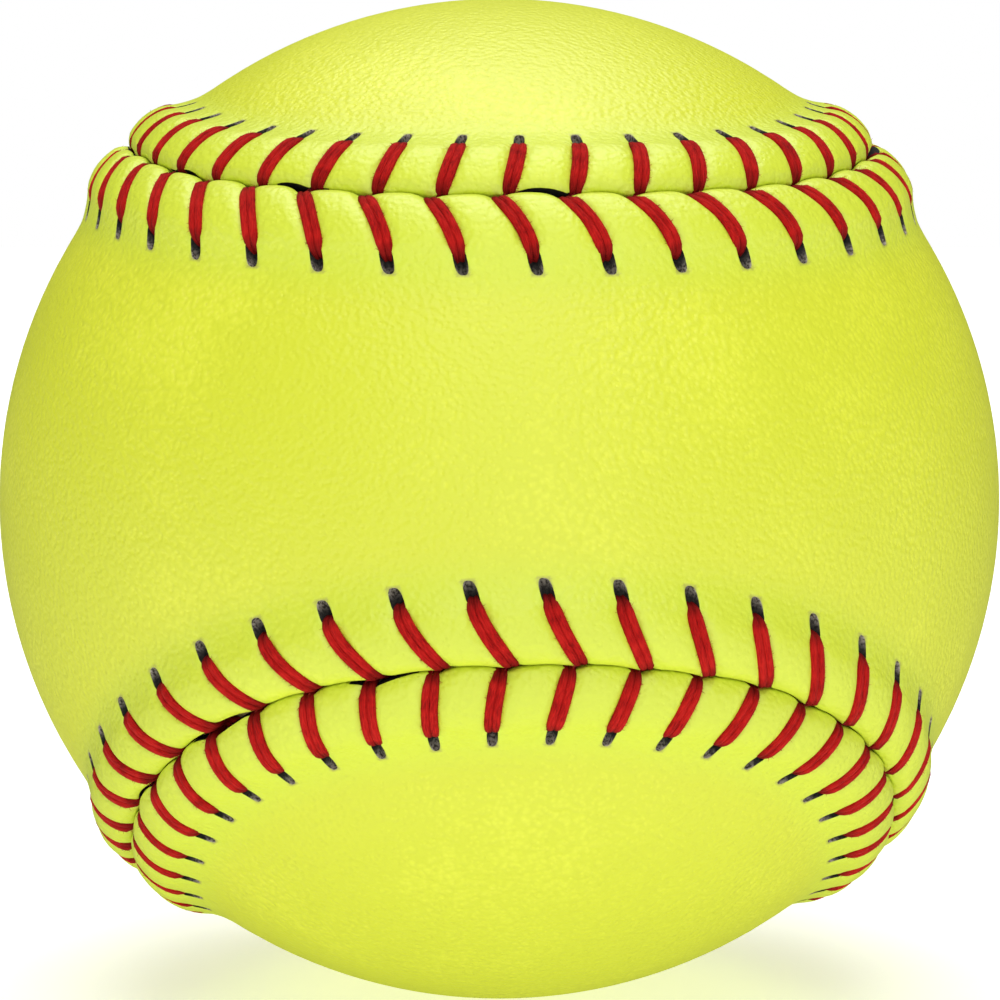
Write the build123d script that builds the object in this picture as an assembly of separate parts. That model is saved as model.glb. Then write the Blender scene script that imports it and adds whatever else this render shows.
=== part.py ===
from build123d import *
import bisect
import math
import os

# A twelve inch softball: a foam core under a film of cement, two leather panels shaped like a figure
# of eight, and two waxed threads that sew the panels edge to edge over a padded seam.
# The origin is the ball's centre, +Z is up and -Y is the side with the panel's narrow waist.

# Layers of the ball, in millimetres
ball_radius = 48.5
leather_thickness = 1.3
cement_film_thickness = 0.3
glue_line = 0.1

# The seam: two shares give the closed curve its shape on the sphere
swing_share = 0.3055
waist_share = -0.034
seam_gap = 0.15
seam_spans = 4
sections_per_span = 12

# The raised lips beside the seam, outside and underneath, as shares of half their width and of their height
lip_half_width = 9.2
lip_height = 1.95
lip_root_depth = 3.0
lip_profile_shares = [(0, 0.385), (0.07, 0.72), (0.22, 0.975), (0.36, 1), (0.53, 0.78), (0.72, 0.38),
                      (0.88, 0.07), (1, -0.16)]
underside_profile_shares = [(0, 0.667), (0.07, 0.728), (0.22, 0.923), (0.36, 0.974), (0.53, 0.744),
                            (0.72, 0.36), (0.88, 0.03), (1, -0.2)]

# The welt that pads each lip from below
welt_inner_edge = 1.4
welt_outer_edge = 5.0
welt_edge_height = 0.15
welt_height = 0.65

# The thread and the room it has in the leather
thread_diameter = 1.0
thread_clearance = 0.1
strand_lift = 1.75
bend_under_leather = 0.65
bend_at_hole = 1.4
bend_at_seam = 1.2
thread_end_length = 1.5

# Where the stitches lie: along the seam from each station, and across it
stitch_pitch = 5.77
first_stitch_along = 0.4
hole_across = 5.9
hole_along_on_a = 0.0
hole_along_on_b = 0.7
dive_across = 0.35
dive_along_on_a = 3.1
dive_along_on_b = 1.9
detour_along = 1.7
detour_across = 1.4
detour_bend = 1.0

# The long hole at the outer end of each strand
slot_length = 2.2
slot_width = 1.0
slot_across = 6.6

# How the ball lies: turned about X, then about its own Y and Z, in degrees
settled_pitch = -12.6
settled_lean = -1.05
settled_turn = 3.92

# Sizes that follow from the ones above
leather_inner_radius = ball_radius - leather_thickness
film_radius = leather_inner_radius - glue_line
film_inner_radius = film_radius - cement_film_thickness
core_radius = film_inner_radius - glue_line
thread_radius = thread_diameter / 2
cut_radius = thread_radius + thread_clearance
hidden_lift = film_radius + thread_clearance + thread_radius - ball_radius
welt_base_lift = hidden_lift + thread_radius + thread_clearance

# A small turn for the curve's direction, the steps of the table of lengths along it, and a strand's corners
small_turn = 0.0001
table_steps = 3600
strand_corner_count = 4


# The unit vector from the ball's centre to the seam
def seam_direction(turn):
    sway = 1 - swing_share
    rise = 2 * math.sqrt(swing_share * sway)
    x = waist_share * math.sin(5 * turn) - swing_share * math.sin(3 * turn) - sway * math.sin(turn)
    y = -rise * math.cos(2 * turn)
    z = sway * math.cos(turn) - swing_share * math.cos(3 * turn) - waist_share * math.cos(5 * turn)
    return Vector(x, y, z).normalized()


# Outward, along the seam, and across it towards panel A
def seam_axes(turn):
    out = seam_direction(turn)
    along = (seam_direction(turn + small_turn) - seam_direction(turn - small_turn)).normalized()
    return out, along, out.cross(along).normalized()


turns = [math.tau * step / table_steps for step in range(table_steps + 1)]
lengths = [0.0]
for turn_before, turn_after in zip(turns, turns[1:]):
    step_vector = seam_direction(turn_after) - seam_direction(turn_before)
    lengths.append(lengths[-1] + step_vector.length * ball_radius)
seam_length = lengths[-1]
stitch_count = 2 * round(seam_length / (2 * stitch_pitch))
true_pitch = seam_length / stitch_count


# The curve's turn at a length along the seam
def turn_at(length):
    length = length % seam_length
    index = min(bisect.bisect_right(lengths, length), table_steps) - 1
    share = (length - lengths[index]) / (lengths[index + 1] - lengths[index])
    return turns[index] + share * (turns[index + 1] - turns[index])


# A point at a distance across the seam and a lift over the ball's surface
def raised(turn, across, lift):
    out, along, side = seam_axes(turn)
    angle = across / ball_radius
    return (out * math.cos(angle) + side * math.sin(angle)) * (ball_radius + lift)


# One closed outline carried round the seam, in spans that end on a shared section
def seam_bands(outline_at):
    bands = []
    for span in range(seam_spans):
        shares = [(span + step / sections_per_span) / seam_spans for step in range(sections_per_span + 1)]
        bands.append(Solid.make_loft([outline_at(math.tau * share) for share in shares]))
    return bands


# Two rounded lips with the groove of the seam between them, rooted in a ball of the given radius
def lip_outline(turn, profile_shares, radius):
    base_lift = radius - ball_radius
    crest = [(share * lip_half_width, base_lift + rise * lip_height) for share, rise in profile_shares]
    crest_a = [raised(turn, across, lift) for across, lift in crest]
    crest_b = [raised(turn, -across, lift) for across, lift in crest]
    root_a = raised(turn, lip_half_width, base_lift - lip_root_depth)
    root_b = raised(turn, -lip_half_width, base_lift - lip_root_depth)
    foot_a = Line(crest_a[-1], root_a)
    foot_b = Line(root_b, crest_b[-1])
    return Wire([Spline(crest_b[::-1]), Spline(crest_a), foot_a, Line(root_a, root_b), foot_b])


def lipped_ball(radius, profile_shares):
    bands = seam_bands(lambda turn: lip_outline(turn, profile_shares, radius))
    return Solid.make_sphere(radius).fuse(*bands)


# A thin wall that parts the two panels
def gap_outline(turn):
    half = seam_gap / 2
    side_a = [raised(turn, half, lift) for lift in (lip_root_depth, -lip_root_depth)]
    side_b = [raised(turn, -half, lift) for lift in (-lip_root_depth, lip_root_depth)]
    return Wire.make_polygon(side_a + side_b, close=True)


# A flat strip with a crowned top, on one side of the seam
def welt_outline(turn, hand):
    middle = (welt_inner_edge + welt_outer_edge) / 2
    edge_lift = welt_base_lift + welt_edge_height
    base_in = raised(turn, hand * welt_inner_edge, welt_base_lift)
    base_out = raised(turn, hand * welt_outer_edge, welt_base_lift)
    edge_in = raised(turn, hand * welt_inner_edge, edge_lift)
    edge_out = raised(turn, hand * welt_outer_edge, edge_lift)
    crown = raised(turn, hand * middle, welt_base_lift + welt_height)
    top = ThreePointArc(edge_out, crown, edge_in)
    return Wire([Line(base_in, base_out), Line(base_out, edge_out), top, Line(edge_in, base_in)])


def welt(hand):
    bands = seam_bands(lambda turn: welt_outline(turn, hand))
    return bands[0].fuse(*bands[1:])


# The corners of one strand and the bend at each: up through its hole, over the lip, down at the seam
def strand_corners(hand, station):
    start = first_stitch_along + station * true_pitch
    hole_along = hole_along_on_a if hand > 0 else hole_along_on_b
    dive_along = dive_along_on_a if hand > 0 else dive_along_on_b
    hole_turn = turn_at(start + hole_along)
    dive_turn = turn_at(start + dive_along)
    corners = [
        (raised(hole_turn, hand * hole_across, hidden_lift), bend_under_leather),
        (raised(hole_turn, hand * hole_across, strand_lift), bend_at_hole),
        (raised(dive_turn, hand * dive_across, strand_lift), bend_at_seam),
        (raised(dive_turn, hand * dive_across, hidden_lift), bend_under_leather),
    ]
    # the thread from panel B first passes the other thread, then turns to its next hole
    if hand < 0:
        detour = raised(turn_at(start + detour_along), detour_across, hidden_lift)
        corners.append((detour, detour_bend))
    return corners


# A thread changes panel at every stitch: one starts on A, the other on B
def thread_path(first_hand):
    hands = [first_hand if station % 2 == 0 else -first_hand for station in range(stitch_count)]
    corners = []
    for station, hand in enumerate(hands):
        corners += strand_corners(hand, station)
    before_first = (corners[-1][0] - corners[0][0]).normalized() * thread_end_length
    after_last = (corners[0][0] - corners[-1][0]).normalized() * thread_end_length
    corners.insert(0, (corners[0][0] + before_first, 0))
    corners.append((corners[-1][0] + after_last, 0))
    return rounded_path(corners)


# Straight runs joined by tangent arcs
def rounded_path(corners):
    edges = []
    last = corners[0][0]
    for (before, _), (corner, bend), (after, _) in zip(corners, corners[1:], corners[2:]):
        arriving = (corner - before).normalized()
        leaving = (after - corner).normalized()
        half_turn = math.radians(arriving.get_angle(leaving)) / 2
        reach = bend * math.tan(half_turn)
        start = corner - arriving * reach
        end = corner + leaving * reach
        middle = corner + (leaving - arriving).normalized() * (bend / math.cos(half_turn) - bend)
        edges.append(Line(last, start))
        edges.append(ThreePointArc(start, middle, end))
        last = end
    edges.append(Line(last, corners[-1][0]))
    return Wire(edges)


def thread_solid(path, radius):
    section = Plane(origin=path @ 0, z_dir=path % 0) * Circle(radius)
    return Solid.sweep(section.face(), path)


# The seat of one strand in the leather, with its two ways down
def strand_cutter(hand, station):
    corners = strand_corners(hand, station)[:strand_corner_count]
    hole_foot, hole_top, dive_top, dive_foot = [corner for corner, _ in corners]
    hole_end = hole_foot - (hole_top - hole_foot).normalized() * thread_diameter
    dive_end = dive_foot - (dive_top - dive_foot).normalized() * thread_diameter
    legs_down = [(hole_end, 0), *corners[1:-1], (dive_end, 0)]
    return thread_solid(rounded_path(legs_down), cut_radius)


# One long hole, cut square through the leather
def slot_cutter(hand, station):
    slot = extrude(SlotOverall(slot_length, slot_width), lip_root_depth, both=True).solid()
    hole_along = hole_along_on_a if hand > 0 else hole_along_on_b
    turn = turn_at(first_stitch_along + station * true_pitch + hole_along)
    centre = raised(turn, hand * slot_across, 0)
    outward = centre.normalized()
    across = seam_axes(turn)[1].cross(outward)
    return Plane(origin=centre, x_dir=across, z_dir=outward).location * slot


# The two panels before they are cut for the threads, with the one at the front waist first
def panel_blanks():
    outer = lipped_ball(ball_radius, lip_profile_shares)
    inner = lipped_ball(leather_inner_radius, underside_profile_shares)
    blanks = outer.cut(inner, *seam_bands(gap_outline)).solids()
    front_waist = Vector(0, -ball_radius, 0)
    return sorted(blanks, key=lambda blank: blank.distance_to(front_waist))


def cover_panel(blank, hand):
    stations = range(stitch_count)
    seats = [strand_cutter(side, station) for side in (1, -1) for station in stations]
    slots = [slot_cutter(hand, station) for station in stations]
    return blank.cut(*seats).cut(*slots).solids()


def cement_film():
    return Solid.make_sphere(film_radius).cut(Solid.make_sphere(film_inner_radius))


paths = [thread_path(1), thread_path(-1)]
threads = [thread_solid(path, thread_radius) for path in paths]
blank_a, blank_b = panel_blanks()
panel_a = cover_panel(blank_a, 1)
panel_b = cover_panel(blank_b, -1)
parts = {
    "core": Solid.make_sphere(core_radius),
    "cement_film": cement_film(),
    "seam_welt_a": welt(1),
    "seam_welt_b": welt(-1),
    "cover_panel_a": panel_a[0],
    "cover_panel_b": panel_b[0],
    "needle_one_thread": threads[0],
    "needle_two_thread": threads[1],
}

settled = Rotation(settled_pitch, settled_lean, settled_turn)
os.makedirs("parts", exist_ok=True)
for name, solid in parts.items():
    export_step(settled * solid, f"parts/{name}.step", write_pcurves=False)

print("seam", round(seam_length, 2), "mm,", stitch_count, "stitches,", round(true_pitch, 3), "mm apart")
print("solids in each panel", len(panel_a), len(panel_b))
for thread, path in zip(threads, paths):
    section_area = math.pi * thread_radius ** 2
    print("thread volume", round(thread.volume, 3), "of", round(section_area * path.length, 3), "mm3")
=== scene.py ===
import bisect
import math
import random

import bmesh
import bpy
from mathutils import Matrix, Vector, kdtree, noise


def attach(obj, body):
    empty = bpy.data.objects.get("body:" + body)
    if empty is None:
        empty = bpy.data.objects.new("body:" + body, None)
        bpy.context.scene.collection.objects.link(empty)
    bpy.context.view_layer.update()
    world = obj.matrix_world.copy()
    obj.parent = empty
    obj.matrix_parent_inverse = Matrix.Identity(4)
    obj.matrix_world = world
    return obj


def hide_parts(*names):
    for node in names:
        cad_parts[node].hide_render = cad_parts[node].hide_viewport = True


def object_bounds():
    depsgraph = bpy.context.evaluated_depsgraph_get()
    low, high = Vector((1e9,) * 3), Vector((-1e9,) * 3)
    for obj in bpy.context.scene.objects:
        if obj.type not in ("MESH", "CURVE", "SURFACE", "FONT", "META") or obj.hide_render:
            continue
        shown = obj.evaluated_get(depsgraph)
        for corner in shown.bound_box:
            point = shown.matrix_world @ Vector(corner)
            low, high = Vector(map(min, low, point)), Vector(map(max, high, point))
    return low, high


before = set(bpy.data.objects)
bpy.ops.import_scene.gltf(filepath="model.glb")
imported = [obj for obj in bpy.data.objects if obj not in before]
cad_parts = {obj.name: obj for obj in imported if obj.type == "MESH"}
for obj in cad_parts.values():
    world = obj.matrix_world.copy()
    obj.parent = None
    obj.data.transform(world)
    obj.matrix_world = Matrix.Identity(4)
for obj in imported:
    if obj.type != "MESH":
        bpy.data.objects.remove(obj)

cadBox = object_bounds()
mm = 0.001

# A twelve inch softball, in millimetres: the seam is the same curve that the CAD panels follow.
ball = {
    "radius": 48.5,
    "leather": 1.3,
    "swing": 0.3055,                    # these two shape the seam
    "waist": -0.034,
    "settled": (-12.6, -1.05, 3.92),    # how the ball lies: degrees about X, then its own Y and Z
    "tableSteps": 7200,
}
stitches = {
    "count": 92,
    "first": 0.4,
    "drift": 0.33,                      # the stitches run a little ahead on one half of the seam
    "holeAcross": 5.6,
    "onA": {"hole": 0.0, "dive": 3.1},  # places along the seam
    "onB": {"hole": 0.7, "dive": 1.9},
    "bow": 1.7,                         # how late a strand turns, and how much of it runs straight
    "straight": 0.4,
}

# The camera comes first: a long lens 388 mm from the ball's centre, a little above it.
view = {
    "distance": 388.0,
    "elevation": 5.0,
    "lens": 142.87,
    "sensor": 36.0,
    "shift": (0.0006, -0.0014),
    "clipStart": 0.01,
}


def addCamera():
    rise = math.radians(view["elevation"])
    place = Vector((0, -math.cos(rise), math.sin(rise))) * view["distance"] * mm
    bpy.ops.object.camera_add(location=place, rotation=(math.pi / 2 - rise, 0, 0))
    camera = bpy.context.object
    camera.data.sensor_width = view["sensor"]
    camera.data.lens = view["lens"]
    camera.data.shift_x, camera.data.shift_y = view["shift"]
    camera.data.clip_start = view["clipStart"]
    bpy.context.scene.camera = camera


addCamera()
print("camera set")


# The seam's curve, its direction and its length

def turned():
    pitch, lean, turn = [math.radians(angle) for angle in ball["settled"]]
    return Matrix.Rotation(pitch, 3, "X") @ Matrix.Rotation(lean, 3, "Y") @ Matrix.Rotation(turn, 3, "Z")


settled = turned()


def seamDirection(turn):
    swing, waist = ball["swing"], ball["waist"]
    x = waist * math.sin(5 * turn) - swing * math.sin(3 * turn) - (1 - swing) * math.sin(turn)
    y = -2 * math.sqrt(swing * (1 - swing)) * math.cos(2 * turn)
    z = (1 - swing) * math.cos(turn) - swing * math.cos(3 * turn) - waist * math.cos(5 * turn)
    return settled @ Vector((x, y, z)).normalized()


def seamTable():
    steps = ball["tableSteps"]
    outs = [seamDirection(math.tau * step / steps) for step in range(steps)]
    rows, length = [], 0.0
    for step, out in enumerate(outs):
        ahead = outs[(step + 1) % steps]
        along = (ahead - outs[step - 1]).normalized()
        rows.append((length, out, out.cross(along).normalized()))
        length += (ahead - out).length * ball["radius"]
    return rows, length


seamRows, seamLength = seamTable()
rowLengths = [row[0] for row in seamRows]
pitch = seamLength / stitches["count"]


def seamAt(along):
    # outward direction and the direction across the seam, towards panel A
    along = along % seamLength
    index = bisect.bisect_right(rowLengths, along) - 1
    start, out, side = seamRows[index]
    nextOut, nextSide = seamRows[(index + 1) % len(seamRows)][1:]
    step = seamLength / len(seamRows)
    share = min((along - start) / step, 1)
    return out.lerp(nextOut, share).normalized(), side.lerp(nextSide, share).normalized()


def raised(along, across, lift):
    out, side = seamAt(along)
    angle = across / ball["radius"]
    return (out * math.cos(angle) + side * math.sin(angle)) * (ball["radius"] + lift) * mm


def stitchStart(station):
    drift = stitches["drift"] * math.cos(math.tau * (station / stitches["count"] - 0.5))
    return stitches["first"] + station * pitch + drift


def strandSide(hand):
    # hand is 1 on panel A and -1 on panel B
    return stitches["onA"] if hand > 0 else stitches["onB"]


# Small tools

def smooth(low, high, value):
    share = min(max((value - low) / (high - low), 0), 1)
    return share * share * (3 - 2 * share)


def follow(points, value):
    # a smooth line through (place, height) points
    places = [point[0] for point in points]
    if value >= places[-1]:
        return points[-1][1]
    index = max(bisect.bisect_right(places, value) - 1, 0)
    (x1, y1), (x2, y2) = points[index], points[index + 1]
    x0, y0 = points[index - 1] if index else (2 * x1 - x2, y1)
    x3, y3 = points[index + 2] if index + 2 < len(points) else (2 * x2 - x1, y2)
    slope1, slope2 = (y2 - y0) / (x2 - x0), (y3 - y1) / (x3 - x1)
    share, span = (value - x1) / (x2 - x1), x2 - x1
    square, cube = share ** 2, share ** 3
    return (y1 * (2 * cube - 3 * square + 1) + y2 * (3 * square - 2 * cube)
            + slope1 * span * (cube - 2 * square + share) + slope2 * span * (cube - square))


def deselectAll():
    if bpy.context.object and bpy.context.object.mode != "OBJECT":
        bpy.ops.object.mode_set(mode="OBJECT")
    bpy.ops.object.select_all(action="DESELECT")


def hexColour(text):
    parts = [int(text[start:start + 2], 16) / 255 for start in (1, 3, 5)]
    linear = [part / 12.92 if part <= 0.04045 else ((part + 0.055) / 1.055) ** 2.4 for part in parts]
    return (*linear, 1)


def setInputs(owner, node, inputs):
    # inputs: input name or number -> an output socket or a plain value
    for name, value in inputs.items():
        if isinstance(value, bpy.types.NodeSocket):
            owner.node_tree.links.new(value, node.inputs[name])
        else:
            node.inputs[name].default_value = value


def addNode(owner, kind, inputs=None, stops=(), **settings):
    # stops are the places and colours of a colour ramp
    node = owner.node_tree.nodes.new(kind)
    for name, value in settings.items():
        setattr(node, name, value)
    setInputs(owner, node, inputs or {})
    if stops:
        elements = node.color_ramp.elements
        while len(elements) < len(stops):
            elements.new(0.5)
        for element, (place, colour) in zip(elements, stops):
            element.position, element.color = place, hexColour(colour)
    return node


def newMaterial(name):
    material = bpy.data.materials.new(name)
    material.use_nodes = True
    return material, material.node_tree.nodes["Principled BSDF"]


# Cowhide, dyed and pebbled by an embossing plate: even colour, satin gloss and small soft cells. The real
# cells are about 0.3 mm wide, and these are drawn as coarse as they need to be to show.
leatherLook = {
    "colour": "#dfe630", "pale": "#e8eb4c", "deep": "#d6de26", "seam": "#cde23e", "rim": "#8a7f55",
    "cell": 0.5, "cellDepth": 0.12, "speck": -0.5,       # speck: painted highlight and shade, how much paler each cell is than its edges
    "crease": 0.2, "creaseDepth": 0.03,
    "warp": 3.0, "warpBy": 0.3, "patch": 22.0,
    "roughness": 0.5, "gloss": 0.9,
}


def pebbledLeather():
    look = leatherLook
    material, shader = newMaterial("pebbled_dyed_cowhide")
    place = addNode(material, "ShaderNodeTexCoord").outputs["Object"]
    warp = addNode(material, "ShaderNodeTexNoise",
                   {"Vector": place, "Scale": 1 / (look["warp"] * mm), "Detail": 2.0})
    nudge = addNode(material, "ShaderNodeVectorMath",
                    {0: warp.outputs["Color"], 1: [look["warpBy"] * mm] * 3}, operation="MULTIPLY")
    moved = addNode(material, "ShaderNodeVectorMath", {0: place, 1: nudge.outputs[0]}, operation="ADD")
    cells = addNode(material, "ShaderNodeTexVoronoi",
                    {"Vector": moved.outputs[0], "Scale": 1 / (look["cell"] * mm)}, feature="SMOOTH_F1")
    fine = addNode(material, "ShaderNodeTexNoise",
                   {"Vector": place, "Scale": 1 / (look["crease"] * mm), "Detail": 3.0, "Roughness": 0.6})
    broad = addNode(material, "ShaderNodeTexNoise",
                    {"Vector": place, "Scale": 1 / (look["patch"] * mm), "Detail": 3.0, "Roughness": 0.55})
    # painted highlight and shade: each pebble is paler in its middle than down between the pebbles
    speckled = addNode(material, "ShaderNodeMath", {0: cells.outputs["Distance"], 1: look["speck"],
                                                    2: broad.outputs["Fac"]}, operation="MULTIPLY_ADD")
    base = addNode(material, "ShaderNodeValToRGB", {"Fac": speckled.outputs[0]},
                   stops=[(0.3, look["deep"]), (0.5, look["colour"]), (0.72, look["pale"])])
    # painted shade: greener and darker on the seam's lips and under the strands
    paintedSeamShade = addNode(material, "ShaderNodeAttribute", attribute_name="paintedSeamShade")
    tinted = addNode(material, "ShaderNodeMix", {0: paintedSeamShade.outputs["Fac"], 6: base.outputs["Color"],
                                                 7: hexColour(look["seam"])}, data_type="RGBA")
    frayed = addNode(material, "ShaderNodeAttribute", attribute_name="frayed")
    frayedPart = addNode(material, "ShaderNodeMath", {0: frayed.outputs["Fac"], 1: fine.outputs["Fac"]},
                         operation="MULTIPLY")
    rubbed = addNode(material, "ShaderNodeMix", {0: frayedPart.outputs[0], 6: tinted.outputs[2],
                                                 7: hexColour(look["rim"])}, data_type="RGBA")
    pebbles = addNode(material, "ShaderNodeBump", {"Height": cells.outputs["Distance"],
                                                   "Distance": look["cellDepth"] * mm, "Strength": 1.0})
    creases = addNode(material, "ShaderNodeBump", {"Height": fine.outputs["Fac"], "Strength": 1.0,
                                                   "Distance": look["creaseDepth"] * mm,
                                                   "Normal": pebbles.outputs["Normal"]})
    setInputs(material, shader, {"Base Color": rubbed.outputs[2], "Normal": creases.outputs["Normal"],
                                 "Roughness": look["roughness"], "Specular IOR Level": look["gloss"]})
    return material


# The cut walls of a needle hole: raw hide, painted nearly black and dull for the shade down in the hole, and
# dusty grey where the edge is frayed.
holeLook = {
    "dark": ("#060504", "#1c1a16"), "dusty": ("#4a4239", "#b9b0a0"),
    "grain": 0.25, "roughness": 0.9,
}


def holeWall():
    look = holeLook
    material, shader = newMaterial("needle_hole_painted_shade_and_fray")
    place = addNode(material, "ShaderNodeTexCoord").outputs["Object"]
    grain = addNode(material, "ShaderNodeTexNoise",
                    {"Vector": place, "Scale": 1 / (look["grain"] * mm), "Detail": 3.0}).outputs["Fac"]
    dark = addNode(material, "ShaderNodeValToRGB", {"Fac": grain},
                   stops=[(0.35, look["dark"][0]), (0.75, look["dark"][1])])
    dusty = addNode(material, "ShaderNodeValToRGB", {"Fac": grain},
                    stops=[(0.38, look["dusty"][0]), (0.6, look["dusty"][1])])
    frayed = addNode(material, "ShaderNodeAttribute", attribute_name="frayed")
    mixed = addNode(material, "ShaderNodeMix", {0: frayed.outputs["Fac"], 6: dark.outputs["Color"],
                                                7: dusty.outputs["Color"]}, data_type="RGBA")
    setInputs(material, shader, {"Base Color": mixed.outputs[2], "Roughness": look["roughness"]})
    return material


# Waxed cotton thread, dyed red: two plies side by side, matt, with fine fibres that run along each ply. Real
# fibres are about 0.02 mm thick, and these streaks are about 0.12 mm wide, as coarse as they need to be.
threadLook = {
    "colour": "#ab100d", "lit": "#c4201a", "deep": "#7a0807", "soiledAndShaded": "#3d0605", "soilAndShade": 0.6,
    "fibre": 0.12, "fibres": 2.2, "stretch": (0.55, 9.0, 1.0),
    "blotch": 1.6, "blotchShare": 0.3,
    "roughness": 0.8, "gloss": 0.12,
}


def waxedThread():
    look = threadLook
    material, shader = newMaterial("waxed_red_cotton")
    uv = addNode(material, "ShaderNodeUVMap", uv_map="ply").outputs["UV"]
    stretched = addNode(material, "ShaderNodeMapping", {"Vector": uv, "Scale": look["stretch"]})
    fibres = addNode(material, "ShaderNodeTexNoise",
                     {"Vector": stretched.outputs[0], "Scale": look["fibres"], "Detail": 4.0,
                      "Roughness": 0.65, "Distortion": 0.4})
    place = addNode(material, "ShaderNodeTexCoord").outputs["Object"]
    blotch = addNode(material, "ShaderNodeTexNoise",
                     {"Vector": place, "Scale": 1 / (look["blotch"] * mm), "Detail": 2.0})
    calm = addNode(material, "ShaderNodeMath", {0: blotch.outputs["Fac"], 1: look["blotchShare"]},
                   operation="MULTIPLY")
    both = addNode(material, "ShaderNodeMath", {0: fibres.outputs["Fac"], 1: 1 - look["blotchShare"],
                                                2: calm.outputs[0]}, operation="MULTIPLY_ADD")
    colour = addNode(material, "ShaderNodeValToRGB", {"Fac": both.outputs[0]},
                     stops=[(0.36, look["deep"]), (0.48, look["colour"]), (0.62, look["lit"])])
    # painted shade with some soil: darker towards both ends of each strand
    shaded = addNode(material, "ShaderNodeAttribute", attribute_name="shaded")
    soiledAndShaded = addNode(material, "ShaderNodeMath", {0: shaded.outputs["Fac"], 1: look["soilAndShade"]},
                     operation="MULTIPLY")
    mixed = addNode(material, "ShaderNodeMix", {0: soiledAndShaded.outputs[0], 6: colour.outputs["Color"],
                                                7: hexColour(look["soiledAndShaded"])}, data_type="RGBA")
    bump = addNode(material, "ShaderNodeBump",
                   {"Height": fibres.outputs["Fac"], "Distance": look["fibre"] * mm})
    setInputs(material, shader, {"Base Color": mixed.outputs[2], "Normal": bump.outputs["Normal"],
                                 "Roughness": look["roughness"], "Specular IOR Level": look["gloss"]})
    return material


# One finish with a mottle of two colours, for the pieces inside the ball and the loose fibres
def mottled(name, low, high, size, roughness):
    material, shader = newMaterial(name)
    place = addNode(material, "ShaderNodeTexCoord").outputs["Object"]
    grain = addNode(material, "ShaderNodeTexNoise",
                    {"Vector": place, "Scale": 1 / (size * mm), "Detail": 4.0}).outputs["Fac"]
    colour = addNode(material, "ShaderNodeValToRGB", {"Fac": grain}, stops=[(0.35, low), (0.65, high)])
    bump = addNode(material, "ShaderNodeBump", {"Height": grain, "Distance": 0.1 * mm})
    setInputs(material, shader, {"Base Color": colour.outputs["Color"], "Normal": bump.outputs["Normal"],
                                 "Roughness": roughness})
    return material


leather = pebbledLeather()
hole = holeWall()
thread = waxedThread()
# spun cotton, torn loose: dull, and brighter than the strands because it lies in the light
fibre = mottled("loose_red_cotton_fibre", "#8e1016", "#b8242a", 1.0, 0.9)
# wool, pressed and not woven: off-white and quite without shine
felt = mottled("pressed_wool_felt", "#cfcabb", "#e4e0d4", 0.3, 0.95)
# polyurethane, foamed in a mould: cream, dull and finely mottled
foam = mottled("moulded_polyurethane_foam", "#d8cba0", "#e9dfbd", 0.8, 0.75)
# contact cement, brushed on and dried: amber in soft patches, with a little shine
cement = mottled("dried_contact_cement", "#b89d62", "#cdb57f", 2.5, 0.4)
print("materials made")

insideFinishes = {"core": foam, "cement_film": cement, "seam_welt_a": felt, "seam_welt_b": felt}
for node, finish in insideFinishes.items():
    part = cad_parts[node]
    part.data.materials.clear()
    part.data.materials.append(finish)


# The leather panels: a fine strip follows the seam, with the lip, the puffs between the stitches and the
# needle holes, and a plain cap of the ball fills the middle. A coarser strip and cap line the inside.
panel = {
    # distance from the seam and height over the ball
    "lip": [(0, 0.75), (0.07, 0.98), (0.2, 1.18), (0.5, 1.42), (1.2, 1.74), (2.2, 1.92), (3.2, 1.95),
            (4.2, 1.78), (5.0, 1.5), (5.8, 1.12), (6.6, 0.74), (7.4, 0.4), (8.2, 0.16), (9.2, 0.03),
            (10.2, 0.0), (12, 0.0)],
    "underside": [(8.3, -1.2), (6.6, -0.65), (4.9, 0.1), (3.3, 0.58), (2.0, 0.5), (0.6, 0.1)],
    "wall": [(0.05, -0.1), (0.04, 0.45)],
    # where the strip's own rows and columns lie
    "across": [0.05, 0.12, 0.24, 0.42, 0.66, 0.98, 1.38, 1.85, 2.4, 3.0, 3.6, 4.2, 4.65, 4.93],
    "pastHole": [7.86, 8.15, 8.7, 9.6, 10.6],
    "along": [-2.3, -1.75, -1.3, -0.98, -0.76, -0.62, -0.5, -0.42, -0.25, 0,
              0.25, 0.42, 0.5, 0.62, 0.76, 0.98, 1.3, 1.75, 2.3],
    "capEdge": 11.4,
    "capFineness": 6,
    "liningEdge": 9.6,
    "liningFineness": 5,
    "capTrim": 0.4,                     # a cap is cut this far outside its edge, then drawn to it
    "capClear": 0.7,
    "pinch": 0.6,                       # strands press the lip down, and the leather puffs up beside them
    "pinchWidth": 0.95,
    "pinchShares": (0.7, 0.3),
    "pinchStarts": (0.0, 1.2),
    "pinchEnds": (4.4, 6.2),
    "puff": 0.22,
    "puffStarts": (0.0, 1.0),
    "puffEnds": (4.6, 6.4),
    "scallop": 0.42,                    # how far the lips push over the line between two stitches
    "scallopCurve": 0.7,
    "scallopMiddle": 0.3,
    "pullBack": 0.3,                    # a diving strand pulls the lip's edge back
    "pullReach": (0.62, 0.45),
    "uneven": 0.09,
    "unevenSize": 4.2,
    "plain": (7, 10),
    "wander": 0.3,                      # how far the groove strays from its line, and where it gapes
    "wanderScale": 7.5,
    "strayReach": 1.6,
    "gape": 1.05,
    "gapeScale": 5,
    "gapeSeed": (3, 1, 2),
    "gapeLevel": 0.19,
    "gapeReach": 0.7,
    "darkGape": 0.03,                   # a groove that gapes more than this gets the painted shade on its wall
    "paintedSeamShade": 0.45,                     # painted shade: the lip and the leather under a strand take the seam's greener, darker tint
    "paintedSeamShadeEnds": (6.5, 11.0),
    "paintedStrandShade": 0.5,
    "paintedStrandShadeEnds": (5.5, 8.0),
}
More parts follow.
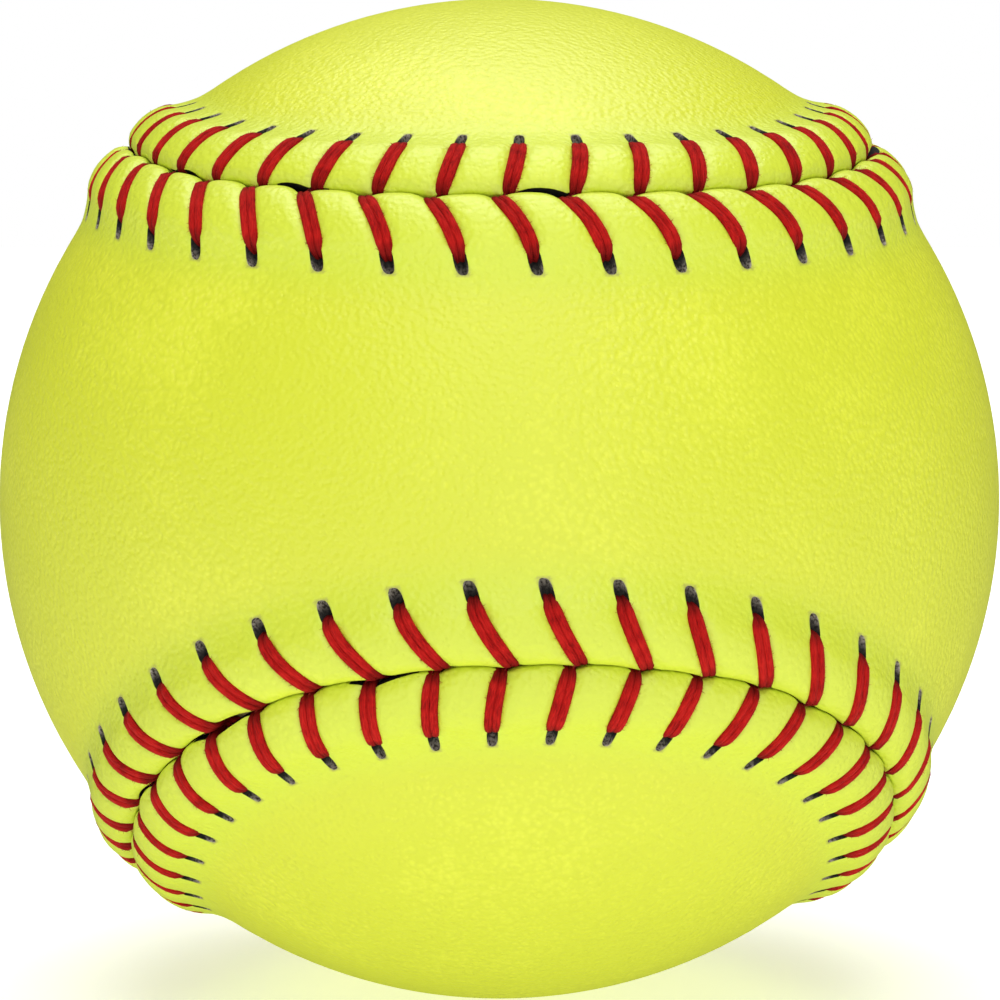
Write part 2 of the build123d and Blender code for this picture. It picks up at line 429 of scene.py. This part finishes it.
needleHole = {
    "middle": 6.42,
    "halfLength": 1.2,
    "halfWidth": 0.55,
    "depth": 1.05,
    "roundness": 2.8,
    "rows": [-1, -0.97, -0.88, -0.66, -0.3, 0.1, 0.45, 0.72, 0.9, 0.97, 1],
    "edgeColumn": 0.5,                  # this column of the strip runs round the hole's rim
    "point": 0.1,                       # past the hole the columns spread out again from this half width
    "spread": 1.1,
    "wall": (0.5, 1.0),
    "endWall": (0.84, 0.99),
    "sink": 0.14,                       # the leather sinks a little around each hole
    "sinkReach": (1.1, 1.5),
    "fray": (-0.1, 1.1),                # the far end of a hole frays, and a little of the leather past it
    "frayPast": 0.06,
    "frayBeside": (0.9, 0.2),
}


def strandShift(hand, across):
    # where the strand lies along the seam at this distance across it
    side = strandSide(hand)
    share = 1 - max(across, 0) / stitches["holeAcross"]
    bowed = (1 - stitches["straight"]) * max(share, 0) ** stitches["bow"] + stitches["straight"] * share
    return side["hole"] + (side["dive"] - side["hole"]) * bowed


def holePlace(across):
    return (across - needleHole["middle"]) / needleHole["halfLength"]


def fitToHole(offset, across):
    # draws the strip's columns in so that one of them follows the hole's outline
    edge, point, place = needleHole["edgeColumn"], needleHole["point"], abs(holePlace(across))
    power = needleHole["roundness"]
    rim = needleHole["halfWidth"] * max(1 - place ** power, 0) ** (1 / power)
    if place >= 1:
        past = (place - 1) * needleHole["halfLength"]
        rim = point + (edge - point) * smooth(0, needleHole["spread"], past)
    rim = max(rim, point)
    if abs(offset) <= edge:
        return offset * rim / edge
    beyond = (abs(offset) - edge) / (pitch / 2 - edge)
    return math.copysign(rim + beyond * (pitch / 2 - rim), offset)


def holeDepth(offset, across):
    # offset is the column's own, before it is drawn in
    share = abs(offset) / needleHole["edgeColumn"]
    wall = 1 - smooth(*needleHole["wall"], share)
    return needleHole["depth"] * wall * (1 - smooth(*needleHole["endWall"], abs(holePlace(across))))


def leatherLift(offset, across):
    near = math.exp(-(offset / panel["pinchWidth"]) ** 2)
    always, further = panel["pinchShares"]
    pinch = panel["pinch"] * near * (always + further * smooth(*panel["pinchStarts"], across))
    lift = follow(panel["lip"], across) - pinch * (1 - smooth(*panel["pinchEnds"], across))
    reach = smooth(*panel["puffStarts"], across) * (1 - smooth(*panel["puffEnds"], across))
    lift += panel["puff"] * (1 - near) * reach
    beside, along = needleHole["sinkReach"]
    fromHole = (offset / beside) ** 2 + ((across - needleHole["middle"]) / along) ** 2
    return lift - needleHole["sink"] * math.exp(-fromHole)


def strayed(along, across, lift):
    # the same as raised, with the groove's small wanderings near it
    station = (along - stitches["first"]) / pitch
    dives = (stitches["onA"]["dive"] + stitches["onB"]["dive"]) / 2
    meeting = (along - stitchStart(station) + station * pitch - dives) / pitch
    bulge = abs(math.sin(math.pi * meeting)) ** panel["scallopCurve"] - panel["scallopMiddle"]
    sway = -panel["scallop"] * math.cos(math.tau * along / seamLength) * bulge
    sway += panel["wander"] * noise.noise(seamAt(along)[0] * panel["wanderScale"])
    return raised(along, across + sway * math.exp(-abs(across) / panel["strayReach"]), lift)


def gapeAt(along):
    # how far the lips stand apart here, which is nothing in most places
    level = noise.noise(seamAt(along)[0] * panel["gapeScale"] + Vector(panel["gapeSeed"]))
    return panel["gape"] * max(level - panel["gapeLevel"], 0)


def leatherPoint(hand, station, column, across, lift=None):
    # a point without a lift of its own lies on the outside of the leather
    offset = fitToHole(column, across) if lift is None else column
    alongReach, acrossReach = panel["pullReach"]
    nearEdge = math.exp(-(offset / alongReach) ** 2) * math.exp(-abs(across) / acrossReach)
    along = stitchStart(station) + strandShift(hand, across) + offset
    drawn = across + panel["pullBack"] * nearEdge + gapeAt(along) * math.exp(-across / panel["gapeReach"])
    if lift is None:
        lumps = noise.noise(raised(along, hand * across, 0) / (panel["unevenSize"] * mm))
        lift = leatherLift(offset, drawn) - holeDepth(column, drawn)
        lift += panel["uneven"] * lumps * (1 - smooth(*panel["plain"], drawn))
    return strayed(along, hand * drawn, lift)


def wrappedGrid(name, columns, rows, placeOf):
    # a grid primitive whose points are moved one by one
    deselectAll()
    bpy.ops.mesh.primitive_grid_add(x_subdivisions=columns, y_subdivisions=rows - 1, size=2)
    piece = bpy.context.object
    piece.name = name
    for vert in piece.data.vertices:
        row, column = divmod(vert.index, columns + 1)
        vert.co = placeOf(column, row)
    return piece


def mergeDoubles(piece):
    deselectAll()
    piece.select_set(True)
    bpy.context.view_layer.objects.active = piece
    bpy.ops.object.mode_set(mode="EDIT")
    bpy.ops.mesh.select_all(action="SELECT")
    bpy.ops.mesh.remove_doubles(threshold=0.000001)
    bpy.ops.mesh.normals_make_consistent(inside=False)
    bpy.ops.object.mode_set(mode="OBJECT")
    bpy.ops.object.shade_smooth()


def seamTree():
    tree = kdtree.KDTree(len(seamRows))
    for index, row in enumerate(seamRows):
        tree.insert(row[1], index)
    tree.balance()
    return tree


nearestSeam = seamTree()


def placeOnSeam(point):
    # along and across of a point on the ball
    direction = point.normalized()
    length, out, side = seamRows[nearestSeam.find(direction)[1]]
    return length, math.atan2(direction.dot(side), direction.dot(out)) * ball["radius"]


def capOfBall(hand, subdivisions, radius, edge):
    # a ball with everything near the seam taken away, and its edge drawn onto one line beside the seam
    deselectAll()
    bpy.ops.mesh.primitive_ico_sphere_add(subdivisions=subdivisions, radius=radius * mm)
    cap = bpy.context.object
    cap.data.materials.append(leather)
    mesh = bmesh.new()
    mesh.from_mesh(cap.data)
    outside = [vert for vert in mesh.verts if hand * placeOnSeam(vert.co)[1] < edge - panel["capTrim"]]
    while outside:
        bmesh.ops.delete(mesh, geom=outside, context="VERTS")
        outside = [vert for vert in mesh.verts
                   if not vert.link_faces or sum(one.is_boundary for one in vert.link_edges) > 2]
    lift, inner = radius - ball["radius"], edge + panel["capClear"]
    for vert in mesh.verts:
        along, across = placeOnSeam(vert.co)
        if vert.is_boundary:
            vert.co = raised(along, hand * edge, lift)
        elif hand * across < inner:
            vert.co = raised(along, hand * inner, lift)
    mesh.to_mesh(cap.data)
    mesh.free()
    return cap


def boundaryLoops(mesh):
    loops, seen = [], set()
    for start in mesh.verts:
        if not start.is_boundary or start in seen:
            continue
        loop, vert, edge = [], start, None
        while not loop or vert is not start:
            loop.append(vert)
            seen.add(vert)
            edge = next(one for one in vert.link_edges if one.is_boundary and one is not edge)
            vert = edge.other_vert(vert)
        loops.append(loop)
    return sorted(loops, key=lambda loop: sum(vert.co.length for vert in loop) / len(loop))


def zipLoops(mesh, loopOne, loopTwo):
    # triangles between two closed loops, with the shorter step taken first
    first = min(range(len(loopTwo)), key=lambda index: (loopTwo[index].co - loopOne[0].co).length)
    loopTwo = loopTwo[first:] + loopTwo[:first]
    eighth = loopOne[len(loopOne) // 8].co
    if (loopTwo[len(loopTwo) // 8].co - eighth).length > (loopTwo[-(len(loopTwo) // 8)].co - eighth).length:
        loopTwo = loopTwo[:1] + loopTwo[:0:-1]
    one = two = 0
    while one < len(loopOne) or two < len(loopTwo):
        here, there = loopOne[one % len(loopOne)], loopTwo[two % len(loopTwo)]
        nextHere, nextThere = loopOne[(one + 1) % len(loopOne)], loopTwo[(two + 1) % len(loopTwo)]
        shorter = (nextHere.co - there.co).length < (nextThere.co - here.co).length
        if one < len(loopOne) and (two >= len(loopTwo) or shorter):
            mesh.faces.new((here, nextHere, there))
            one += 1
        else:
            mesh.faces.new((here, nextThere, there))
            two += 1


def markShadeAndFray(piece, rows, offsets):
    # painted shade on the seam's lips and under the strands, and frayed: torn at the far end of a hole
    paintedSeamShade = piece.data.attributes.new("paintedSeamShade", "FLOAT", "POINT")
    frayed = piece.data.attributes.new("frayed", "FLOAT", "POINT")
    fromSide, sideReach = needleHole["frayBeside"]
    for vert in piece.data.vertices:
        row, column = divmod(vert.index, len(offsets) * stitches["count"] + 1)
        (across, lift), offset = rows[row], offsets[column % len(offsets)]
        paintedStrandShade = math.exp(-offset ** 2) * (1 - smooth(*panel["paintedStrandShadeEnds"], across))
        lip = 1 - smooth(*panel["paintedSeamShadeEnds"], across)
        paintedSeamShade.data[vert.index].value = panel["paintedSeamShade"] * lip + panel["paintedStrandShade"] * paintedStrandShade
        if lift is None:
            outward, beside = holePlace(across), fitToHole(offset, across) / needleHole["halfWidth"]
            past, aside = max(outward - 1, 0), max(abs(beside) - fromSide, 0)
            away = (past / needleHole["frayPast"]) ** 2 + (aside / sideReach) ** 2
            frayed.data[vert.index].value = smooth(*needleHole["fray"], outward) * math.exp(-away)


def darkenWalls(piece, hand, rows, offsets):
    # painted shade: the walls of the holes, and the wall of the groove where it gapes, take the nearly black
    # finish
    edge = needleHole["edgeColumn"]
    for face in piece.data.polygons:
        row, column = divmod(face.index, len(offsets) * stitches["count"])
        station, index = divmod(column, len(offsets))
        ends = (offsets[index], offsets[(index + 1) % len(offsets)])
        inside = max(ends) <= edge and min(ends) >= -edge
        inHole = inside and abs(holePlace((rows[row][0] + rows[row + 1][0]) / 2)) < 1
        along = stitchStart(station) + strandShift(hand, 0) + offsets[index]
        inGap = rows[row] in panel["wall"] and gapeAt(along) > panel["darkGape"]
        if inGap or rows[row][1] is None and inHole:
            face.material_index = 1


def coverPanel(name, hand, node):
    offsets = panel["along"] + [pitch / 2]
    holeRows = [needleHole["middle"] + place * needleHole["halfLength"] for place in needleHole["rows"]]
    outerRows = panel["across"] + holeRows + panel["pastHole"]
    rows = panel["underside"] + panel["wall"] + [(across, None) for across in outerRows]

    def place(column, row):
        station, index = divmod(column, len(offsets))
        return leatherPoint(hand, station, offsets[index], *rows[row])

    piece = wrappedGrid(name, len(offsets) * stitches["count"], len(rows), place)
    piece.data.materials.append(leather)
    piece.data.materials.append(hole)
    markShadeAndFray(piece, rows, offsets)
    darkenWalls(piece, hand, rows, offsets)
    inner = ball["radius"] - ball["leather"]
    caps = [capOfBall(hand, panel["capFineness"], ball["radius"], panel["capEdge"]),
            capOfBall(hand, panel["liningFineness"], inner, panel["liningEdge"])]
    mergeDoubles(piece)
    for cap in caps:
        cap.select_set(True)
    bpy.ops.object.join()
    mesh = bmesh.new()
    mesh.from_mesh(piece.data)
    innerOne, innerTwo, outerOne, outerTwo = boundaryLoops(mesh)
    zipLoops(mesh, innerOne, innerTwo)
    zipLoops(mesh, outerOne, outerTwo)
    mesh.to_mesh(piece.data)
    mesh.free()
    mergeDoubles(piece)
    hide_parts(node)
    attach(piece, "root")
    print(name, len(piece.data.polygons), "faces")


coverPanel("leather_panel_a", 1, "cover_panel_a")
coverPanel("leather_panel_b", -1, "cover_panel_b")


# The threads: each is two plies side by side, one unbroken tube apiece, over a lip, down into the seam and
# under the other panel to its next hole.
strand = {
    # distance from the seam and height over the ball
    "over": [(5.9, -0.75), (5.88, -0.1), (5.8, 0.42), (5.64, 0.8), (5.38, 1.08), (5.0, 1.3), (4.4, 1.53),
             (3.7, 1.67), (3.0, 1.74), (2.3, 1.72), (1.7, 1.64), (1.2, 1.5), (0.8, 1.3), (0.52, 1.0),
             (0.38, 0.6), (0.34, 0.0), (0.34, -0.7)],
    "under": (0.18, 0.42, 0.68, 0.9),
    "underLift": -0.85,
    "detour": 1.7,                      # one thread goes round the other here
    "lean": 0.08,                       # no two strands lie quite alike
    "widths": (0.94, 1.07),
    "twist": 14.0,
    "twists": (0.2, 1.2),
    "twistStarts": (-0.7, 0.0),
    "twistDepth": 0.5,
    "thinAtDive": (0.16, 1.6, 0.3),     # by how much it is pressed thinner, and from where to where
    "thinAtHole": (0.1, 4.8, 5.8),
    "plyApart": 0.35,
    "plyHalfWidth": 0.42,
    "plyHalfHeight": 0.33,
    "squareness": 0.7,
    "sides": 8,
    "steep": 0.5,                       # from this slope on, a strand turns its flat side away from the lip
    "lipMiddle": 3,
    "turnAway": 0.9,
    "shadeAtDive": (0.3, 1.5),          # soiled, with painted shade, down in the seam and down in its hole
    "shadeAtHole": (4.9, 5.8),
    "seed": 7,
}


def threadPoints(firstHand, rng):
    # along, across, lift, width and twist of every point, all the way round
    points = []
    byDive, *diveEnds = strand["thinAtDive"]
    byHole, *holeEnds = strand["thinAtHole"]
    for station in range(stitches["count"]):
        hand = firstHand if station % 2 == 0 else -firstHand
        start = stitchStart(station)
        lean, width = rng.uniform(-strand["lean"], strand["lean"]), rng.uniform(*strand["widths"])
        twist, phase = strand["twist"] * rng.uniform(*strand["twists"]), rng.uniform(*strand["twistStarts"])
        for index, (across, lift) in enumerate(strand["over"]):
            share = index / (len(strand["over"]) - 1)
            along = start + strandShift(hand, across) + lean * math.sin(math.pi * share)
            thinner = 1 - byDive * smooth(*diveEnds, across) - byHole * smooth(*holeEnds, across)
            points.append((along, hand * across, lift, width * thinner, twist * (share + phase)))
        fromAlong, toAlong = start + strandSide(hand)["dive"], start + pitch + strandSide(-hand)["hole"]
        fromAcross, toAcross = hand * strand["over"][-1][0], -hand * strand["over"][0][0]
        for share in strand["under"]:
            along = fromAlong + share * (toAlong - fromAlong)
            across = fromAcross + share * (toAcross - fromAcross)
            if hand < 0 and share == strand["under"][0]:
                along = start + strand["detour"]
            points.append((along, across, strand["underLift"], 1.0, 0.0))
    return points


def plyRing(centres, index, point, hand):
    # the points round one of the two plies, where the strand passes its centre
    along, across, _, width, twist = point
    centre = centres[index]
    forward = (centres[(index + 1) % len(centres)] - centres[index - 1]).normalized()
    outward = centre.normalized()
    if abs(forward.dot(outward)) > strand["steep"]:
        # on the way down the flat of the strand faces away from the lip
        towards = 1 if (abs(across) > strand["lipMiddle"]) == (across > 0) else -1
        outward = (outward + seamAt(along)[1] * towards * strand["turnAway"]).normalized()
    sideways = forward.cross(outward).normalized()
    outward = sideways.cross(forward).normalized()
    turn = math.radians(twist)
    spread = sideways * math.cos(turn) + outward * math.sin(turn) * strand["twistDepth"]
    middle = centre + spread * hand * strand["plyApart"] * width * mm
    ring = []
    for corner in range(strand["sides"]):
        angle = math.tau * corner / strand["sides"]
        flat, high = math.cos(angle), math.sin(angle)
        high = math.copysign(abs(high) ** strand["squareness"], high)
        ring.append(middle + (sideways * flat * strand["plyHalfWidth"] * width
                              + outward * high * strand["plyHalfHeight"]) * mm)
    return ring


def plyTube(name, points, hand):
    centres = [strayed(*point[:3]) for point in points]
    rings = [plyRing(centres, index, point, hand) for index, point in enumerate(points)]
    sides = strand["sides"]
    piece = wrappedGrid(name, len(rings) - 1, sides + 1, lambda column, row: rings[column][row % sides])
    lengths = [0.0]
    for before, after in zip(centres, centres[1:]):
        lengths.append(lengths[-1] + (after - before).length / mm)
    shaded = piece.data.attributes.new("shaded", "FLOAT", "POINT")
    for vert in piece.data.vertices:
        across = abs(points[vert.index % len(rings)][1])
        inSeam, inHole = 1 - smooth(*strand["shadeAtDive"], across), smooth(*strand["shadeAtHole"], across)
        shaded.data[vert.index].value = max(inSeam, inHole)
    uv = piece.data.uv_layers[0]
    uv.name = "ply"
    for loop in uv.data:
        column, row = round(loop.uv[0] * (len(rings) - 1)), round(loop.uv[1] * sides)
        loop.uv = (lengths[column], row / sides)
    return piece


def sewnThread(name, firstHand, node, rng):
    points = threadPoints(firstHand, rng)
    piece = plyTube(name, points, -1)
    second = plyTube(name + "_second_ply", points, 1)
    deselectAll()
    second.select_set(True)
    piece.select_set(True)
    bpy.context.view_layer.objects.active = piece
    bpy.ops.object.join()
    mergeDoubles(piece)
    bpy.ops.object.mode_set(mode="EDIT")
    bpy.ops.mesh.select_all(action="SELECT")
    bpy.ops.mesh.fill_holes(sides=strand["sides"])
    bpy.ops.object.mode_set(mode="OBJECT")
    piece.data.materials.append(thread)
    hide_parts(node)
    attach(piece, "root")
    print(name, len(piece.data.polygons), "faces")
    return points


rng = random.Random(strand["seed"])
threadRuns = [sewnThread("thread_one", 1, "needle_one_thread", rng),
              sewnThread("thread_two", -1, "needle_two_thread", rng)]


# Loose fibres that stand off the edges of the strands: a three-sided tube with one knee and a sharp tip
fuzz = {
    "perStrand": 34,
    "thick": 0.024,
    "thinning": 0.7,
    "short": 0.2,
    "long": 0.5,
    "beside": 0.68,                     # where a fibre starts on the strand
    "above": 0.3,
    "along": 0.3,
    "rise": 0.9,
    "bend": 0.9,
    "droop": 0.5,
    "ends": (4, 3),                     # none on the first and last points of a strand
    "seed": 21,
}


def fibrePoints(centre, ahead, rng):
    forward, outward = (ahead - centre).normalized(), centre.normalized()
    sideways = forward.cross(outward).normalized() * rng.choice((-1, 1))
    rise = rng.uniform(0, fuzz["rise"])
    beside = sideways * fuzz["beside"] * math.cos(rise)
    above = outward * fuzz["above"] * math.sin(rise)
    root = centre + (beside + above + forward * rng.uniform(-fuzz["along"], fuzz["along"])) * mm
    away = sideways * math.cos(rise) + outward * math.sin(rise) + forward * rng.uniform(-1, 1)
    away.normalize()
    length = rng.uniform(fuzz["short"], fuzz["long"]) * mm / 2
    knee = root + away * length
    bent = away + forward * rng.uniform(-fuzz["bend"], fuzz["bend"]) - outward * rng.uniform(0, fuzz["droop"])
    oneWay = away.cross(outward).normalized() * fuzz["thick"] * mm
    otherWay = away.cross(oneWay).normalized() * fuzz["thick"] * mm
    points = []
    for place, share in ((root, 1.0), (knee, fuzz["thinning"])):
        for turn in (0, math.tau / 3, 2 * math.tau / 3):
            points.append(place + (oneWay * math.cos(turn) + otherWay * math.sin(turn)) * share)
    return points + [knee + bent.normalized() * length]


def looseFibres():
    rng = random.Random(fuzz["seed"])
    points, faces = [], []
    overCount, underCount = len(strand["over"]), len(strand["under"])
    places = (fuzz["ends"][0], overCount - fuzz["ends"][1])
    for run in threadRuns:
        for first in range(0, len(run), overCount + underCount):
            for _ in range(fuzz["perStrand"]):
                index = first + rng.randrange(*places)
                start = len(points)
                points += fibrePoints(strayed(*run[index][:3]), strayed(*run[index + 1][:3]), rng)
                faces.append((start + 2, start + 1, start))
                for corner in range(3):
                    after = (corner + 1) % 3
                    faces.append((start + corner, start + after, start + 3 + after, start + 3 + corner))
                    faces.append((start + 3 + corner, start + 3 + after, start + 6))
    deselectAll()
    data = bpy.data.meshes.new("thread_fuzz")
    data.from_pydata(points, [], faces)
    piece = bpy.data.objects.new("thread_fuzz", data)
    bpy.context.collection.objects.link(piece)
    data.materials.append(fibre)
    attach(piece, "root")
    print("thread_fuzz", len(data.polygons), "faces")


looseFibres()


# The floor, the light and the white around the ball. The floor is matt paper: pale, with no shine.
studio = {
    "floorHalf": 3.0,
    "paper": "#efefef",
    "paperMirrored": "#303030",         # what reflections see, so the ball's edges keep their colour
    "paperRoughness": 0.9,
    "mirrored": 0.03,
    "bounced": 1.45,                    # the pale table also lights the ball's underside
    "glow": 0.45,
    "glowAway": 1.0,
    "fade": (0.12, 0.7),
    "around": 0.23,
    "aroundMirrored": 0.02,
    "lamps": {                          # place, size and power
        "key": ((0.05, -0.7, 0.8), 0.7, 3.7),
        "fill": ((0.1, -0.95, 0.16), 0.42, 1.0),
        "top": ((0.0, 0.15, 0.95), 0.8, 7.4),
    },
}


def addFloor():
    deselectAll()
    bpy.ops.mesh.primitive_plane_add(size=2 * studio["floorHalf"], location=(0, 0, 0))
    floor = bpy.context.object
    floor.name = "floor"
    for vert in floor.data.vertices:
        vert.co.z = cadBox[0].z
    material, paper = newMaterial("matt_white_paper")
    ray = addNode(material, "ShaderNodeLightPath").outputs
    shown = addNode(material, "ShaderNodeMix",
                    {0: ray["Is Glossy Ray"], 6: hexColour(studio["paper"]),
                     7: hexColour(studio["paperMirrored"])}, data_type="RGBA")
    setInputs(material, paper, {"Base Color": shown.outputs[2], "Roughness": studio["paperRoughness"]})
    mirrored = addNode(material, "ShaderNodeMath", {0: ray["Is Glossy Ray"], 1: studio["mirrored"],
                                                    2: ray["Is Camera Ray"]}, operation="MULTIPLY_ADD")
    seen = addNode(material, "ShaderNodeMath", {0: ray["Is Diffuse Ray"], 1: studio["bounced"],
                                                2: mirrored.outputs[0]}, operation="MULTIPLY_ADD")
    place = addNode(material, "ShaderNodeTexCoord").outputs["Object"]
    away = addNode(material, "ShaderNodeVectorMath", {0: place}, operation="LENGTH")
    near, far = studio["fade"]
    faded = addNode(material, "ShaderNodeMapRange",
                    {"Value": away.outputs["Value"], "From Min": near, "From Max": far,
                     "To Min": studio["glow"], "To Max": studio["glowAway"]})
    strength = addNode(material, "ShaderNodeMath", {0: seen.outputs[0], 1: faded.outputs[0]},
                       operation="MULTIPLY")
    glow = addNode(material, "ShaderNodeEmission", {"Strength": strength.outputs[0]})
    both = addNode(material, "ShaderNodeAddShader", {0: paper.outputs[0], 1: glow.outputs[0]})
    setInputs(material, material.node_tree.nodes["Material Output"], {"Surface": both.outputs[0]})
    material.cycles.emission_sampling = "NONE"           # so that only rays that meet the floor see it glow
    floor.data.materials.append(material)


def addLamp(name, place, size, power):
    deselectAll()
    bpy.ops.object.light_add(type="AREA", location=place)
    lamp = bpy.context.object
    lamp.name = name
    lamp.data.size = size
    lamp.data.energy = power
    lamp.rotation_euler = (-Vector(place)).to_track_quat("-Z", "Y").to_euler()


def addWorld():
    # white for the camera, dim for the light and nearly dark for reflections
    world = bpy.data.worlds.new("white_studio")
    bpy.context.scene.world = world
    world.use_nodes = True
    ray = addNode(world, "ShaderNodeLightPath").outputs
    seen = addNode(world, "ShaderNodeMath", {0: ray["Is Camera Ray"], 1: ray["Is Transmission Ray"]},
                   operation="MAXIMUM")
    lit = addNode(world, "ShaderNodeMapRange", {"Value": ray["Is Glossy Ray"], "To Min": studio["around"],
                                                "To Max": studio["aroundMirrored"]})
    strength = addNode(world, "ShaderNodeMapRange", {"To Min": lit.outputs[0], "Value": seen.outputs[0]})
    setInputs(world, world.node_tree.nodes["Background"], {"Strength": strength.outputs[0],
                                                           "Color": hexColour("#ffffff")})
    world.cycles.sampling_method = "NONE"                # so that every ray is told from its kind


addFloor()
for name, (place, size, power) in studio["lamps"].items():
    addLamp(name, place, size, power)
addWorld()
bpy.context.scene.view_settings.view_transform = "Standard"
print("studio lit")
